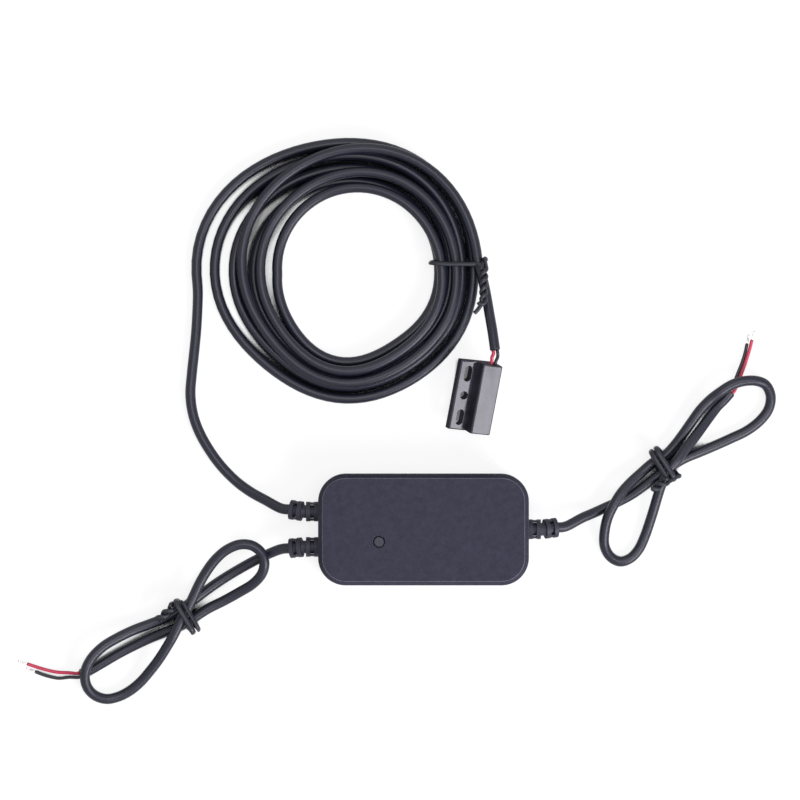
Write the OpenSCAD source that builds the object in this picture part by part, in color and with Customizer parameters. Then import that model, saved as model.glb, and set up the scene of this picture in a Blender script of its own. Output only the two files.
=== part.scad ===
// Garage door controller: an in-line relay box, a coiled cable to a contact sensor and two short tied cables.
// Millimetres. +Z up, origin under the middle of the box on the surface that it lies on, +X along the box.

/* [Box] */
// Length of the box
body_l = 79.6; // [74:0.1:90]
// Width of the box
body_w = 42.1; // [40:0.1:50]
// Height of the box
body_h = 20; // [19:0.5:24]
// Corner radius seen from above
corner_r = 10.4; // [8:0.1:12]
// Wall thickness
wall = 2; // [1.8:0.1:2.4]
// Thickness of the top face
top_t = 2; // [1.8:0.1:2.4]
// Thickness of the floor
floor_t = 2; // [1.6:0.1:2.4]
// Height of the line where the two halves part
split_z = 9.5; // [9:0.1:11]
// Width of the sloped top edge, seen from above
edge_run = 1.6; // [0.8:0.1:1.8]
// Height of the sloped top edge
edge_drop = 2.2; // [1:0.1:3]
// Size of the sloped bottom edge
foot_edge = 0.9; // [0.5:0.1:1.5]
// Height of the lip that locates the cover
lip_h = 1.6; // [1.4:0.1:2]
// Thickness of that lip
lip_t = 0.9; // [0.8:0.05:1]
// Clearance between lip and cover
lip_gap = 0.15; // [0.1:0.05:0.3]
// Length of each snap bead on the lip
bead_l = 10; // [6:1:14]
// Radius of each snap bead
bead_r = 0.4; // [0.3:0.05:0.5]

/* [Button] */
// Distance of the button from the left end of the box
button_from_end = 23; // [20:0.1:30]
// Distance of the button from the near long side of the box
button_from_side = 16.5; // [12:0.1:22]
// Diameter of the button
button_d = 3.7; // [3.5:0.1:4.5]
// Length of the button
button_l = 5; // [4.6:0.1:5.5]
// How far the button stands out of the top face
button_proud = 0.1; // [0:0.05:0.3]
// Width of the groove round the button
button_groove = 0.55; // [0.3:0.05:0.7]
// Depth of that groove
button_groove_depth = 1.2; // [0.5:0.1:1.2]
// Diameter of the button's retaining flange
button_flange_d = 6.4; // [5.8:0.1:7]
// Thickness of that flange
button_flange_t = 1; // [0.8:0.1:1.2]
// Clearance round the button in its guide
button_gap = 0.1; // [0.06:0.02:0.16]
// Diameter of the guide collar inside the cover
collar_d = 7.4; // [7:0.1:8.5]
// Travel of the button
button_travel = 0.3; // [0.2:0.05:0.4]

/* [Board] */
// Thickness of the circuit board
board_t = 1.6; // [1:0.2:2]
// Height of the posts under the board
post_h = 2.5; // [2:0.1:3]
// Diameter of the posts and of the cover's hold-down tubes
post_d = 5; // [4.4:0.1:5.6]
// Diameter of the locating pin on each post
pin_d = 2.2; // [1.8:0.1:2.6]
// Clearance round each pin
pin_gap = 0.12; // [0.1:0.02:0.2]
// Distance of the posts from the board's edges
post_inset = 4.8; // [4.2:0.1:6]
// Free space between board and side walls
board_side_gap = 1.8; // [1.2:0.1:2.5]
// Free space between board and end walls
board_end_gap = 3; // [2.6:0.1:4]
// Side of the push switch
switch_side = 6; // [5.8:0.1:6.4]
// Height of the push switch
switch_h = 3.5; // [3.2:0.1:4]
// Diameter of the push switch's plunger
plunger_d = 3.4; // [3:0.1:3.6]
// Length, width and height of the relay
relay_size = [15, 10, 9]; // [8:0.1:16]
// Length, width and thickness of the radio module
module_size = [24, 16, 0.8]; // [0.6:0.1:24]
// Length, width and height of the radio module's shield
shield_size = [15, 12, 2.2]; // [1.8:0.1:16]
// Side of the inductor
inductor_side = 7.3; // [6:0.1:8]
// Height of the inductor
inductor_h = 4.5; // [3:0.1:6]
// Diameter of the capacitors
capacitor_d = 6.3; // [5:0.1:7]
// Height of the capacitors
capacitor_h = 7.2; // [5:0.1:8.5]

/* [Strain reliefs] */
// Length outside the box
relief_l = 10.8; // [9:0.1:14]
// Diameter of the ribs
relief_d = 7.5; // [7:0.1:8.5]
// Diameter of the core between the ribs
relief_core_d = 4.9; // [4.6:0.1:5.4]
// Thickness of each rib
rib_t = 1.6; // [1.2:0.1:1.8]
// Thickness of the webs that join the ribs
web_t = 1.2; // [0.8:0.1:1.6]
// Diameter of the neck in the box wall
neck_d = 6.2; // [5.6:0.1:6.6]
// Clearance round the neck
neck_gap = 0.1; // [0.05:0.05:0.2]
// Diameter of the flange inside the box
relief_flange_d = 7.9; // [7.6:0.1:8.2]
// Thickness of that flange
relief_flange_t = 1.4; // [1:0.1:1.8]
// Distance between the two ports at the left end
port_spacing = 13.4; // [12:0.1:15]

/* [Cables] */
// Diameter of the cables
cable_d = 3.9; // [3.4:0.1:4]
// Diameter of the insulated cores
wire_d = 1.3; // [1.1:0.1:1.4]
// Diameter of the tinned core ends
tip_d = 0.8; // [0.6:0.1:0.9]
// Diameter of the coated tie wire
tie_d = 1.6; // [1.4:0.1:1.7]

/* [Coil] */
// Number of turns in the coil
coil_turns = 6.485; // [6.46:0.005:6.5]
// Inner radius across
coil_rx = 29.6; // [28:0.1:34]
// Inner radius along
coil_ry = 31.4; // [30:0.1:36]
// Distance between neighbouring turns
coil_pitch = 4.6; // [4.55:0.05:4.9]
// Extra distance between turns where the lower layer fans out
coil_fan = 2.95; // [1:0.05:4]
// The same in the upper layer
coil_fan_top = 1.1; // [0.5:0.05:2]
// How far the outermost turn bulges at three places
coil_bulge = 1; // [0:0.1:1]
// How deep the dent in the coil is
coil_kink = 2.3; // [0:0.1:3]
// How many turns' width the last turn drifts outwards
tail_drift = 0.9; // [0.7:0.05:1]

/* [Contact sensor] */
// Length of the case
sensor_l = 27; // [25:0.5:32]
// Width of the raised block
block_w = 8; // [7.5:0.1:9]
// Width of the flange
flange_w = 7.2; // [6.5:0.1:9]
// Height of the block
block_h = 8.4; // [8:0.1:10]
// Thickness of the flange
flange_t = 3.6; // [3:0.1:4.2]
// Wall of the case
case_wall = 1.2; // [1:0.1:1.4]
// Thickness of the back plate
back_t = 1; // [0.8:0.1:1.2]
// Clearance round the back plate
back_gap = 0.08; // [0.05:0.01:0.15]
// Diameter of the screw hole in the flange
screw_d = 3.2; // [2.8:0.1:3.6]
// Width of the two slots
slot_w = 3; // [2.6:0.1:3.4]
// Length of the two slots
slot_l = 6.2; // [5:0.1:7]
// Distance between the slots' middles
slot_spacing = 17; // [16:0.1:19]
// Diameter of the reed switch's glass
reed_d = 2.2; // [1.8:0.1:2.4]
// Length of the reed switch's glass
reed_l = 14; // [12:0.5:15]
// Diameter of the reed switch's leads
reed_lead_d = 0.6; // [0.5:0.05:0.7]

/* [Hidden] */

$fn = 48;
// Overshoot that keeps cuts clear of the faces that they pass
past = 1;
// Gap between pieces that only touch
seat = 0.02;
jacket = "#2b2b33";
shell_black = "#34343e";
gloss_black = "#1d1d22";
wire_red = "#b3202c";
wire_black = "#17171a";
tinned = "#d8d8d8";

// Box, worked out from the sizes above
cavity_l = body_l - 2 * wall;
cavity_w = body_w - 2 * wall;
cavity_r = corner_r - wall;
ceiling_z = body_h - top_t;
lip_inset = wall - lip_t;
bead_x = body_l / 5;
// How far up the lip the beads sit, as a share of its height
bead_up = 0.6;
bead_z = split_z + lip_h * bead_up;
button_xy = [-body_l / 2 + button_from_end, -body_w / 2 + button_from_side, 0];

// Board stack
board_z = floor_t + post_h;
board_top = board_z + board_t;
board_l = cavity_l - 2 * board_end_gap;
board_w = cavity_w - 2 * board_side_gap;
board_r = cavity_r - board_side_gap;
post_x = board_l / 2 - post_inset;
post_y = board_w / 2 - post_inset;
pin_h = board_t + 1;
switch_top = board_top + switch_h;
plunger_sunk = 1;
plunger_room = 2 * button_travel;
plunger_gap = 0.08;
cap_z = body_h + button_proud - button_l;
collar_z = cap_z + button_flange_t + seat;
relay_at = [-post_x + post_d / 2 + relay_size.x / 2 + 2, post_y - relay_size.y / 2 + 2, board_top];
module_at = [module_size.x / 2, post_y - module_size.y / 2 + 3, board_top];
power_row_y = -post_y + 2;
power_row_step = 9.5;
chip_size = [5, 4, 1.6];
led_size = [2, 1.25, 0.8];
// The second chip stands beside the last capacitor
chip_step = [6.2, 5.7];
chip_at = [2 * power_row_step + chip_step.x, power_row_y + chip_step.y, board_top];

// Strain reliefs: ports as [side, y, yaw, droop]; yaw is towards +Y, droop is downwards, both in degrees
sensor_port = [-1, port_spacing / 2, 8, 12];
trigger_port = [-1, -port_spacing / 2, -6, 12];
power_port = [1, 0, 7, 14];
rib_count = 4;
rib_pitch = (relief_l - rib_t) / (rib_count - 1);
relief_mid = relief_l / 2;
lead_spread = 1.8;
pad_from_end = 7.5;
lead_lift = 0.1;
web_in = 0.2;

function heading_out(port) =
    [port[0] * cos(port[3]) * cos(port[2]), cos(port[3]) * sin(port[2]), -sin(port[3])];
function exit_of(port) =
    [port[0] * (body_l / 2 + relief_mid), port[1], split_z]
    + (relief_l - relief_mid + seat) * heading_out(port);

// Vectors, smooth routes and swept tubes
function unit(v) = v / norm(v);
function square_to(v, dir) = unit(v - (v * dir) * dir);
function between(a, b, t) = a + (b - a) * t;
function ease(t) = let (c = min(max(t, 0), 1)) c * c * (3 - 2 * c);
function bend_through(a, b, c, d, t) =
    0.5 * (2 * b + (c - a) * t + (2 * a - 5 * b + 4 * c - d) * t * t + (3 * b - a - 3 * c + d) * t * t * t);
function smooth(pts, steps) = [
    for (i = [0 : len(pts) - 2], k = [0 : steps - 1])
        bend_through(pts[max(i - 1, 0)], pts[i], pts[i + 1], pts[min(i + 2, len(pts) - 1)], k / steps),
    pts[len(pts) - 1]
];
function course(pts, i) = unit(pts[min(i + 1, len(pts) - 1)] - pts[max(i - 1, 0)]);
function last_of(pts) = pts[len(pts) - 1];
function last_course(pts) = unit(pts[len(pts) - 1] - pts[len(pts) - 2]);
// Least clear distance of a tube to itself, on points that lie more than `apart` steps from each other
function least_gap(pts, d, apart) =
    min([for (i = [0 : len(pts) - 1 - apart], j = [i + apart : len(pts) - 1]) norm(pts[i] - pts[j])]) - d;

// A tube along pts, from ring `from` to ring `to`; the first ring can be given a course to stand square to
module tube(pts, d, sides = 8, from = 0, to = undef, first = undef, across = [0, 0, 1]) {
    end = is_undef(to) ? len(pts) - 1 : to;
    courses = [
        for (i = [0 : len(pts) - 1])
            i == 0 && !is_undef(first) ? first : course(pts, i)
    ];
    tops = [
        for (i = 0, t = square_to(across, courses[0]); i < len(pts);
             i = i + 1, t = square_to(t, courses[min(i, len(pts) - 1)])) t
    ];
    rings = [
        for (i = [from : end])
            let (across_i = cross(tops[i], courses[i]))
                [for (k = [0 : sides - 1])
                    pts[i] + d / 2 * (cos(360 * k / sides) * across_i + sin(360 * k / sides) * tops[i])]
    ];
    corners = [for (r = rings, p = r) p];
    far = (len(rings) - 1) * sides;
    walls = [
        for (i = [0 : len(rings) - 2], k = [0 : sides - 1])
            let (a = i * sides + k, b = i * sides + (k + 1) % sides)
                each [[a, a + sides, b], [b, a + sides, b + sides]]
    ];
    caps = [
        for (k = [1 : sides - 2])
            each [[0, k, k + 1], [far, far + k + 1, far + k]]
    ];
    polyhedron(corners, concat(walls, caps));
}

// Sensor cable: a free lead, a coil that winds in below and out again above, and a free tail
coil_at = [-25.8, 96.9];
coil_steps = 24;
// Turns wound inwards in the lower layer
coil_inward = 4;
coil_rise = cable_d + 0.5;
tie_lift = tie_d + 0.3;
fan_power = 4.5;
fan_turn = 10;
fan_curve = 0.7;
reversal = 0.25;
drift_from = 5.9;
drift_to = 6.25;
// How far the upper turns settle into the grooves of the lower ones, in lanes, on the right
nest = 0.5;

// The whole coil is dented: pushed in on one side of this angle and out on the other
kink_at = 278;
kink_rate = 2.6;

function kink(a) =
    let (turned = a - kink_at, d = turned - 360 * round(turned / 360))
        -coil_kink * sin(kink_rate * d) * pow(max(cos(d), 0), 2);
function coil_lane(u) =
    abs(coil_inward - u) + nest * ease((u - coil_inward - reversal) / (2 * reversal)) * (1 - cos(360 * u)) / 2
    + tail_drift * ease((u - drift_from) / (drift_to - drift_from));
function coil_climb(u) = ease((u - coil_inward + reversal) / (2 * reversal));
function coil_point(u) =
    let (
        a = 180 - 360 * u,
        fan = between(coil_fan, coil_fan_top, coil_climb(u)) * pow((1 - cos(a + fan_turn)) / 2, fan_power),
        share = coil_lane(u) / coil_inward,
        out = coil_inward * (coil_pitch * share + fan * pow(share, fan_curve))
            - coil_bulge * share * cos(3 * a) + kink(a)
    )
    [
        coil_at.x + (coil_rx + out) * cos(a),
        coil_at.y + (coil_ry + out) * sin(a),
        cable_d / 2 + coil_rise * coil_climb(u) + tie_lift * (1 + cos(a)) / 2
    ];

rest = cable_d / 2;
coil_rings = floor(coil_turns * coil_steps);
coil_points = [for (i = [0 : coil_rings]) coil_point(coil_turns * i / coil_rings)];
lead_bends = [
    exit_of(sensor_port), exit_of(sensor_port) + cable_d * heading_out(sensor_port),
    [-60, 11, 5.5], [-65.5, 14, 3.7], [-71, 18, 2.5], [-76.5, 23.5, 2], [-81, 29.5, rest], [-85, 36.5, rest],
    [-87.5, 43.5, rest], [-88.5, 51, rest], [-88, 58.5, rest], [-87.2, 66, rest], [-86.4, 74, rest],
    [-85.9, 82, rest], [-85.7, 90, rest]
];
tail_bends = [[22.4, 95, 8.4], [23.8, 88.5, 9.2], [25, 81.5, 10.4], [26.1, 75, 11.8], [27.1, 67.8, 13]];
lead_points = smooth(concat(lead_bends, [coil_points[0]]), 2);
tail_points = smooth(concat([last_of(coil_points)], tail_bends), 2);
sensor_route = concat(
    [for (i = [0 : len(lead_points) - 2]) lead_points[i]],
    coil_points,
    [for (i = [1 : len(tail_points) - 1]) tail_points[i]]
);
coil_first = len(lead_points) - 1;
coil_last = coil_first + len(coil_points) - 1;

// Short cables: each leaves its strain relief, makes two lobes about its tie and ends stripped
waist = rest + tie_lift;
waist_top = waist + cable_d + 0.5;
trigger_bends = [
    exit_of(trigger_port), exit_of(trigger_port) + cable_d * heading_out(trigger_port),
    [-60, -10, 6], [-65.5, -12.8, 4.6], [-71, -15.9, 3.6], [-77, -19.6, 3.2], [-83, -23.8, 3.4],
    [-88, -27.6, waist], [-92.5, -30.8, waist], [-98, -33.8, 3.5],
    [-103.5, -36, 3.4], [-109.5, -38.2, 4.1], [-115.5, -41, 5.2], [-121.5, -44.6, 6.1], [-126, -49.2, 6.5],
    [-128.3, -54.4, 6.4], [-127.8, -59.4, 5.2], [-125, -63, 3.6], [-120.6, -64.6, 2.5], [-116, -63.8, 2],
    [-111.5, -61.5, 2.1], [-107.5, -58.2, 2.7], [-104, -54.2, 3.7], [-100.6, -49.8, 5], [-97.6, -45.2, 6.5],
    [-94.8, -40.4, 7.9], [-92.2, -35.2, waist_top], [-89.5, -30.4, waist_top],
    [-87.2, -25.6, 8.3], [-84.8, -20.5, 8.7], [-82, -15.7, 9.5], [-78.7, -11.4, 10.4], [-74.7, -7.9, 11.1],
    [-69.8, -5.8, 11.4], [-65, -6.1, 11.4], [-61.4, -8.8, 11], [-60.2, -12.8, 10], [-61.3, -17, 8.2],
    [-64.7, -20.8, 6.3], [-69.7, -23.9, 4.9], [-75.8, -27.3, 4], [-82, -30.4, waist], [-87.5, -34, waist],
    [-92.5, -37, waist], [-98, -39.2, 3.3], [-104, -41.6, 2.5], [-110, -44.4, 2.1], [-116, -47.5, 2],
    [-122, -51, rest], [-126.5, -53.6, rest], [-130.2, -55.2, rest]
];
power_bends = [
    exit_of(power_port), exit_of(power_port) + cable_d * heading_out(power_port),
    [60, 4.1, 5.3], [64.5, 6, 3.5], [69.2, 8.1, 2.5], [74, 10.3, 2.3], [79, 13, 2.7], [84, 16.5, 3.4],
    [88.8, 20, waist], [93.8, 23.6, waist],
    [99.2, 26.8, 3.2], [105, 29.2, 2.5], [111, 31.7, 2.1], [117, 34.4, 2], [122.8, 37.2, 2],
    [127.7, 40.9, 2.1], [131.1, 45.4, 2.3], [131.9, 50.4, 3.2], [130, 54.6, 4.4], [126.2, 56.2, 5.6],
    [121.6, 56.1, 6.2], [117, 54.7, 6.4], [112.8, 52.1, 6.2], [109, 49.2, 5.3], [105.2, 45.3, 4.9],
    [102, 40.9, 4.5], [98.8, 36.3, 4.1], [95.5, 31.9, 3.8],
    [91.6, 27.8, waist], [87, 25, waist],
    [82.8, 21.4, 4.2], [78.7, 17.7, 5.2], [75, 13.6, 6.4], [72.1, 9, 6.9], [69.8, 4, 6.4], [68.7, -1.4, 5],
    [68.8, -6.4, 3.5], [70.9, -10.4, 2.4], [74.6, -12.4, 2.1], [78.6, -11.2, 2], [81.8, -7.8, 2],
    [84, -3.2, 2.2], [85.8, 2, 2.9], [87.4, 7.2, 4.2], [88.8, 12.2, 5.9], [90.4, 17.2, 7.6],
    [92.9, 22.2, waist_top], [96.1, 26, waist_top],
    [98.9, 29.9, 7.4], [102.1, 33.8, 6.2], [105.3, 38, 4.9], [108.5, 42.4, 3.6], [111.6, 46.4, 2.6],
    [114.5, 49.3, 2.1], [116.8, 52, rest]
];
trigger_route = smooth(trigger_bends, 2);
power_route = smooth(power_bends, 2);

// Contact sensor: its own frame has X across the flange and block, Y along the case, Z out of its back
sensor_turn = [11.6, 25.2, -5.7];
sensor_xy = [17.5, 51.2];
sensor_w = flange_w + block_w;
block_x = flange_w - sensor_w / 2;
hole_x = flange_w / 2 - sensor_w / 2;
back_wall = 1.5;
roof_t = 1.4;
reed_at = [block_x + block_w / 2, 0, 4];
reed_rib_t = 1.6;
reed_rib_y = 4.5;
reed_lead_end = sensor_l / 2 - 3.4;
wire_entry_x = reed_at.x + 0.9;
wire_entry_z = 6;
wire_step = 1.7;
wire_sunk = 3;
wire_gap = 0.1;

function turn_x(p, a) = [p.x, p.y * cos(a) - p.z * sin(a), p.y * sin(a) + p.z * cos(a)];
function turn_y(p, a) = [p.x * cos(a) + p.z * sin(a), p.y, p.z * cos(a) - p.x * sin(a)];
function turn_z(p, a) = [p.x * cos(a) - p.y * sin(a), p.x * sin(a) + p.y * cos(a), p.z];
function turned(p) = turn_z(turn_y(turn_x(p, sensor_turn.x), sensor_turn.y), sensor_turn.z);
sensor_z = seat - min([for (sx = [-1, 1], sy = [-1, 1]) turned([sx * sensor_w / 2, sy * sensor_l / 2, 0]).z]);
sensor_place = [sensor_xy.x, sensor_xy.y, sensor_z];
function on_sensor(p) = sensor_place + turned(p);

// Cores: they start in the end face of their cable, side by side
core_out = wire_d / 2 + 0.15;
function core_start(route, side) =
    let (dir = last_course(route))
        last_of(route) + seat * dir + side * core_out * square_to(cross(dir, [0, 0, 1]), dir);
function core_route(route, side, bends) =
    let (start = core_start(route, side), dir = last_course(route))
        smooth(concat([start, start + wire_d * dir], bends), 3);
function sensor_core(side, bulge) =
    let (
        x = wire_entry_x + side * wire_step / 2,
        start = core_start(sensor_route, -side),
        dir = last_course(sensor_route),
        mouth = on_sensor([x, sensor_l / 2 + wire_d, wire_entry_z])
    )
    smooth([
        start, start + wire_d * dir,
        between(start, mouth, 0.62) + [side * bulge, 0, 0.2],
        mouth, on_sensor([x, sensor_l / 2, wire_entry_z]),
        on_sensor([x, sensor_l / 2 - wire_sunk, wire_entry_z])
    ], 3);

trigger_red_bends = [
    [-134.5, -54.7, 1.6], [-139, -54.5, 1.2], [-143, -53.7, 1.3],
    [-147, -52.5, 1.6], [-150.5, -51.3, 2]
];
trigger_black_bends = [
    [-134.5, -56.4, 1.4], [-138.5, -56.8, 1], [-142, -56.2, 0.8],
    [-145, -55.3, 0.8], [-147.5, -54.3, 0.9]
];
power_red_bends = [
    [119.4, 55, 1.7], [120.9, 59, 1.6], [122.5, 63.4, 1.8],
    [123.9, 68, 2.4], [124.8, 71.7, 3]
];
power_black_bends = [
    [118, 55.2, 1.2], [119.5, 59, 0.9], [121.1, 63, 1],
    [122.3, 66.9, 1.3], [123, 70.3, 1.6]
];
tip_l = 3.6;

trigger_red_route = core_route(trigger_route, 1, trigger_red_bends);
trigger_black_route = core_route(trigger_route, -1, trigger_black_bends);
power_red_route = core_route(power_route, 1, power_red_bends);
power_black_route = core_route(power_route, -1, power_black_bends);

// Ties: one wire goes round the bundle and its two ends are twisted together
tie_round = 16;
tie_slack = 0.35;
tie_square = 5;
twist_r = tie_d / 2 + 0.12;
twist_steps = 8;
tie_open = 30;
wrap_gap = 0.7;
neck_l = 2.5;

function power_of(c, n) = sign(c) * pow(abs(c), 2 / n);
// Route of a tie: middle and half sizes of its loop, course of the bundle and wraps round it;
// then course, length, turns and shift of the twisted end, and bends of its two free tips
function tie_route(middle, along, half_w, half_h, wraps, twist_dir, twist_l, twists, shift, tips = [[], []]) =
    let (
        lateral = unit(cross(along, [0, 0, 1])),
        step = tie_d + wrap_gap,
        loop = [
            for (i = [0 : tie_round * wraps])
                let (
                    t = i / (tie_round * wraps),
                    a = 90 - tie_open + t * (360 * wraps - tie_open)
                )
                middle + half_w * power_of(cos(a), tie_square) * lateral
                + half_h * power_of(sin(a), tie_square) * [0, 0, 1]
                + step * wraps * (t - 0.5) * along
        ],
        first = loop[0],
        final = last_of(loop),
        base = between(first, final, 0.5) + neck_l * twist_dir + shift,
        e1 = square_to(first - final, twist_dir),
        e2 = cross(twist_dir, e1),
        strand = [
            for (k = [0 : twists * twist_steps])
                let (a = 360 * k / twist_steps)
                    [base + twist_l * k / (twists * twist_steps) * twist_dir,
                     twist_r * (cos(a) * e1 + sin(a) * e2)]
        ],
        one = [for (s = strand) s[0] + s[1]],
        other = [for (s = strand) s[0] - s[1]]
    )
    concat(
        [for (k = [len(tips[0]) - 1 : -1 : 0]) last_of(one) + tips[0][k]],
        [for (k = [len(one) - 1 : -1 : 0]) one[k]],
        loop,
        other,
        [for (t = tips[1]) last_of(other) + t]
    );

bow_tie_half = 6.9;
trigger_tie_at = [-90.2, -33];
power_tie_at = [91.4, 24.6];
bow_tie_z = (waist_top + rest + tie_d + tie_slack) / 2;
coil_twist_l = 12;
coil_twist_shift = [0.9, 0, 1.8];
// One tip of the coil's tie runs down over the turns, the other curls into a hook
coil_tips = [
    [[0.1, -1, -0.5], [-0.1, -2.2, -1.2], [-0.8, -3.4, -1.7], [-1.7, -4.5, -2], [-2.6, -5.4, -2.2]],
    [[-0.1, -0.8, 0.3], [-0.7, -1.6, 0.6], [-1.6, -1.9, 0.8], [-2.4, -1.7, 0.9], [-2.9, -1.1, 1]]
];
bow_twist_l = 7;
trigger_twist_shift = [0, 0, 0.2];
power_twist_shift = [0, 0, 1.7];
tie_u = coil_turns;
tied_turns = 6;
coil_tie_x = [
    min([for (k = [0 : tied_turns]) coil_point(tie_u - k).x]) - cable_d / 2 - tie_d / 2 - tie_slack,
    max([for (k = [0 : tied_turns]) coil_point(tie_u - k).x]) + cable_d / 2 + tie_d / 2 + tie_slack
];
coil_tie_top = max([for (k = [0 : tied_turns]) coil_point(tie_u - k).z]) + cable_d / 2 + tie_d + tie_slack;

// Box pieces
module rounded_outline(l, w, r) {
    square([l - 2 * r, w], center = true);
    square([l, w - 2 * r], center = true);
    for (sx = [-1, 1], sy = [-1, 1])
        translate([sx * (l / 2 - r), sy * (w / 2 - r)]) circle(r);
}

module rounded_plate(l, w, r, h) {
    linear_extrude(h) rounded_outline(l, w, r);
}

// A rounded plate whose sides lean in by `run` over its height
module sloped_plate(l, w, r, h, run) {
    for (sx = [-1, 1], sy = [-1, 1])
        translate([sx * (l / 2 - r), sy * (w / 2 - r), 0]) cylinder(h = h, r1 = r, r2 = r - run);
    translate([-(l / 2 - r), 0, 0]) rotate([90, 0, 90]) linear_extrude(l - 2 * r) lean_section(w, h, run);
    translate([0, w / 2 - r, 0]) rotate([90, 0, 0]) linear_extrude(w - 2 * r) lean_section(l, h, run);
}

module lean_section(width, h, run) {
    polygon([[-width / 2, 0], [width / 2, 0], [width / 2 - run, h], [-width / 2 + run, h]]);
}

module at_posts() {
    for (sx = [-1, 1], sy = [-1, 1]) translate([sx * post_x, sy * post_y, 0]) children();
}

module at_beads() {
    for (sx = [-1, 1], sy = [-1, 1])
        translate([sx * bead_x, sy * (body_w / 2 - lip_inset - bead_r / 3), bead_z])
            rotate([0, 90, 0]) children();
}

// Round openings for the three strain reliefs, centred on the parting line
module port_cuts() {
    for (port = [sensor_port, trigger_port, power_port])
        translate([port[0] * (body_l / 2 - wall / 2), port[1], split_z]) rotate([0, 90, 0])
            cylinder(h = wall + 2 * past, d = neck_d + 2 * neck_gap, center = true);
}

module bottom_shell() {
    color(shell_black) difference() {
        union() {
            translate([0, 0, foot_edge]) mirror([0, 0, 1])
                sloped_plate(body_l, body_w, corner_r, foot_edge, foot_edge);
            translate([0, 0, foot_edge]) rounded_plate(body_l, body_w, corner_r, split_z - foot_edge);
            rounded_plate(body_l - 2 * lip_inset, body_w - 2 * lip_inset, corner_r - lip_inset,
                          split_z + lip_h);
            at_beads() cylinder(h = bead_l, r = bead_r, center = true);
        }
        difference() {
            translate([0, 0, floor_t]) rounded_plate(cavity_l, cavity_w, cavity_r, body_h);
            at_posts() {
                cylinder(h = board_z, d = post_d);
                cylinder(h = board_z + pin_h, d = pin_d);
            }
        }
        port_cuts();
    }
}

module top_cover() {
    rabbet_inset = lip_inset - lip_gap;
    color(shell_black) difference() {
        union() {
            translate([0, 0, split_z]) rounded_plate(body_l, body_w, corner_r, body_h - edge_drop - split_z);
            translate([0, 0, body_h - edge_drop]) sloped_plate(body_l, body_w, corner_r, edge_drop, edge_run);
        }
        difference() {
            translate([0, 0, split_z - past])
                rounded_plate(cavity_l, cavity_w, cavity_r, ceiling_z - split_z + past);
            at_posts() translate([0, 0, board_top]) difference() {
                cylinder(h = body_h - board_top, d = post_d);
                translate([0, 0, -past]) cylinder(h = pin_h + 2 * past, d = pin_d + 2 * pin_gap);
            }
            translate([button_xy.x, button_xy.y, collar_z]) cylinder(h = ceiling_z - collar_z, d = collar_d);
        }
        translate([0, 0, split_z - past])
            rounded_plate(body_l - 2 * rabbet_inset, body_w - 2 * rabbet_inset, corner_r - rabbet_inset,
                          lip_h + lip_gap + past);
        at_beads() cylinder(h = bead_l + 2 * lip_gap, r = bead_r + lip_gap, center = true);
        port_cuts();
        translate(button_xy) {
            cylinder(h = body_h + past, d = button_d + 2 * button_gap);
            translate([0, 0, body_h - button_groove_depth])
                cylinder(h = button_groove_depth + past, d = button_d + 2 * button_groove);
        }
    }
}

module button_cap() {
    color(shell_black) translate([button_xy.x, button_xy.y, cap_z]) {
        cylinder(h = button_flange_t, d = button_flange_d);
        cylinder(h = button_l, d = button_d);
    }
}

// Board and what is on it
module circuit_board() {
    color("#1d5b34") difference() {
        translate([0, 0, board_z]) rounded_plate(board_l, board_w, board_r, board_t);
        at_posts() cylinder(h = body_h, d = pin_d + 2 * pin_gap);
    }
}

module tact_switch() {
    color("#222226") difference() {
        translate([button_xy.x - switch_side / 2, button_xy.y - switch_side / 2, board_top])
            cube([switch_side, switch_side, switch_h]);
        translate([button_xy.x, button_xy.y, switch_top - plunger_sunk - plunger_room])
            cylinder(h = body_h, d = plunger_d + 2 * plunger_gap);
    }
}

module switch_plunger() {
    color("#3a3a40") translate([button_xy.x, button_xy.y, switch_top - plunger_sunk])
        cylinder(h = cap_z - seat - switch_top + plunger_sunk, d = plunger_d);
}

module relay() {
    skirt_h = 1;
    skirt_in = 0.4;
    color("#24459a") translate(relay_at) {
        translate([0, 0, skirt_h / 2])
            cube([relay_size.x - 2 * skirt_in, relay_size.y - 2 * skirt_in, skirt_h], center = true);
        translate([0, 0, (relay_size.z + skirt_h) / 2])
            cube([relay_size.x, relay_size.y, relay_size.z - skirt_h], center = true);
    }
}

module radio_module() {
    color("#16261d") translate(module_at + [0, 0, module_size.z / 2]) cube(module_size, center = true);
}

module radio_shield() {
    shield_end_gap = 1;
    color("silver")
        translate(module_at + [(shield_size.x - module_size.x) / 2 + shield_end_gap, 0, module_size.z])
            translate([0, 0, shield_size.z / 2]) cube(shield_size, center = true);
}

module inductor() {
    corner_cut = 0.2;
    h = inductor_side / 2;
    k = h - corner_cut * inductor_side;
    color("#3b3b3f") translate([0, power_row_y, board_top]) linear_extrude(inductor_h)
        polygon([[-h, -k], [-k, -h], [k, -h], [h, -k], [h, k], [k, h], [-k, h], [-h, k]]);
}

module capacitors() {
    base_h = 1;
    groove = 0.3;
    color("#b9bcc2") for (k = [1, 2]) translate([k * power_row_step, power_row_y, board_top]) difference() {
        union() {
            translate([0, 0, base_h / 2]) cube([capacitor_d, capacitor_d, base_h], center = true);
            cylinder(h = capacitor_h, d = capacitor_d - 2 * groove);
        }
        translate([0, 0, base_h + 2 * groove]) rotate_extrude()
            translate([capacitor_d / 2 - groove, 0]) circle(groove, $fn = 24);
    }
}

module chips() {
    color("#26262a") {
        translate([-power_row_step, power_row_y, board_top + chip_size.z / 2]) cube(chip_size, center = true);
        translate(chip_at + [0, 0, chip_size.z / 2]) cube(chip_size, center = true);
    }
}

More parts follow.
